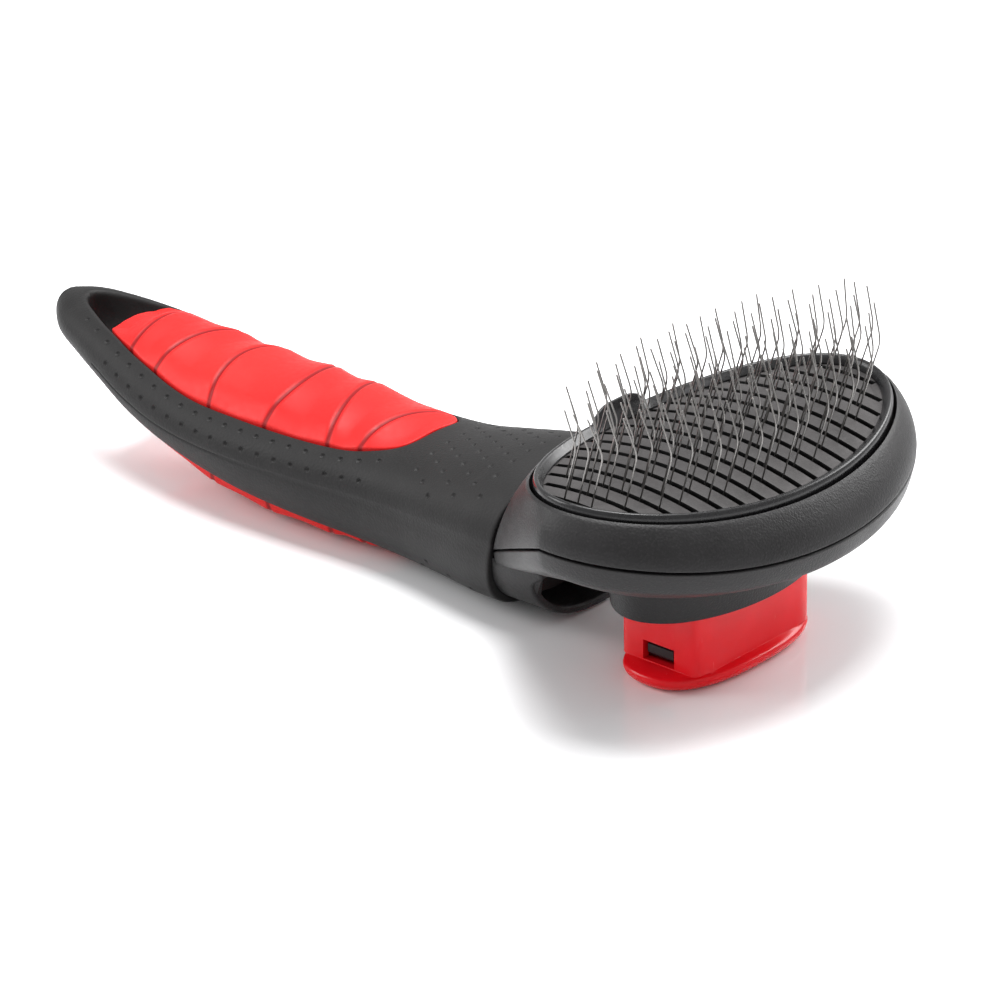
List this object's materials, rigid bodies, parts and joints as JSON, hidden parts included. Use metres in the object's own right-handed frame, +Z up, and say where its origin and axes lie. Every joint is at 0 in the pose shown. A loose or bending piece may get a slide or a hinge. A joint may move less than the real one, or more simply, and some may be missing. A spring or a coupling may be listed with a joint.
{
  "type": "self-cleaning pet slicker brush",
  "caption": "Pet slicker brush with an oval head of bent wire pins, a slotted cleaning plate raised by a sprung push button, and a two-tone soft grip with a hanging loop.",
  "frame": {"origin": "middle of the button's flat underside", "axes": "+X from the handle to the tip of the head, +Y along the head's long axis, +Z up the way the pins point"},
  "size_m": [0.2002, 0.0916, 0.0606],
  "materials": {
    "charcoal_plastic": "fine spark-eroded grain",
    "black_rubber": "matte soft-touch with a faint leathery grain",
    "red_rubber": "satin soft-touch",
    "red_plastic": "glossy moulded",
    "grey_plastic": "matte moulded",
    "rim_plastic": "satin moulded",
    "core_plastic": "plain moulded",
    "steel": "bright drawn wire"
  },
  "bodies": {
    "brush_body": {"upper_housing": "charcoal_plastic", "lower_shell": "charcoal_plastic", "pin_plate": "core_plastic", "handle_core": "core_plastic", "grip_frame": "black_rubber", "grip_insert": "red_rubber", "return_spring": "steel", "pin_row_01": "steel", "pin_row_02": "steel", "pin_row_03": "steel", "pin_row_04": "steel", "pin_row_05": "steel", "pin_row_06": "steel", "pin_row_07": "steel", "pin_row_08": "steel", "pin_row_09": "steel", "pin_row_10": "steel", "pin_row_11": "steel", "pin_row_12": "steel", "pin_row_13": "steel", "pin_row_14": "steel", "pin_row_15": "steel", "pin_row_16": "steel", "pin_row_17": "steel", "pin_row_18": "steel", "plate_screw_1": "steel", "plate_screw_2": "steel", "plate_screw_3": "steel", "plate_screw_4": "steel", "neck_screw_left": "steel", "neck_screw_right": "steel"},
    "cleaner": {"release_button": "red_plastic", "push_leg_left": "core_plastic", "push_leg_right": "core_plastic", "plate_rim": "rim_plastic", "cleaning_plate": "grey_plastic"}
  },
  "joints": [
    {"name": "button_slide", "type": "slide", "parent": "brush_body", "child": "cleaner", "axis": [0, 0, 1], "range_m": [0, 0.011], "stiffness_N_per_m": 300, "springref_m": -0.01, "deforming": ["return_spring"]}
  ]
}
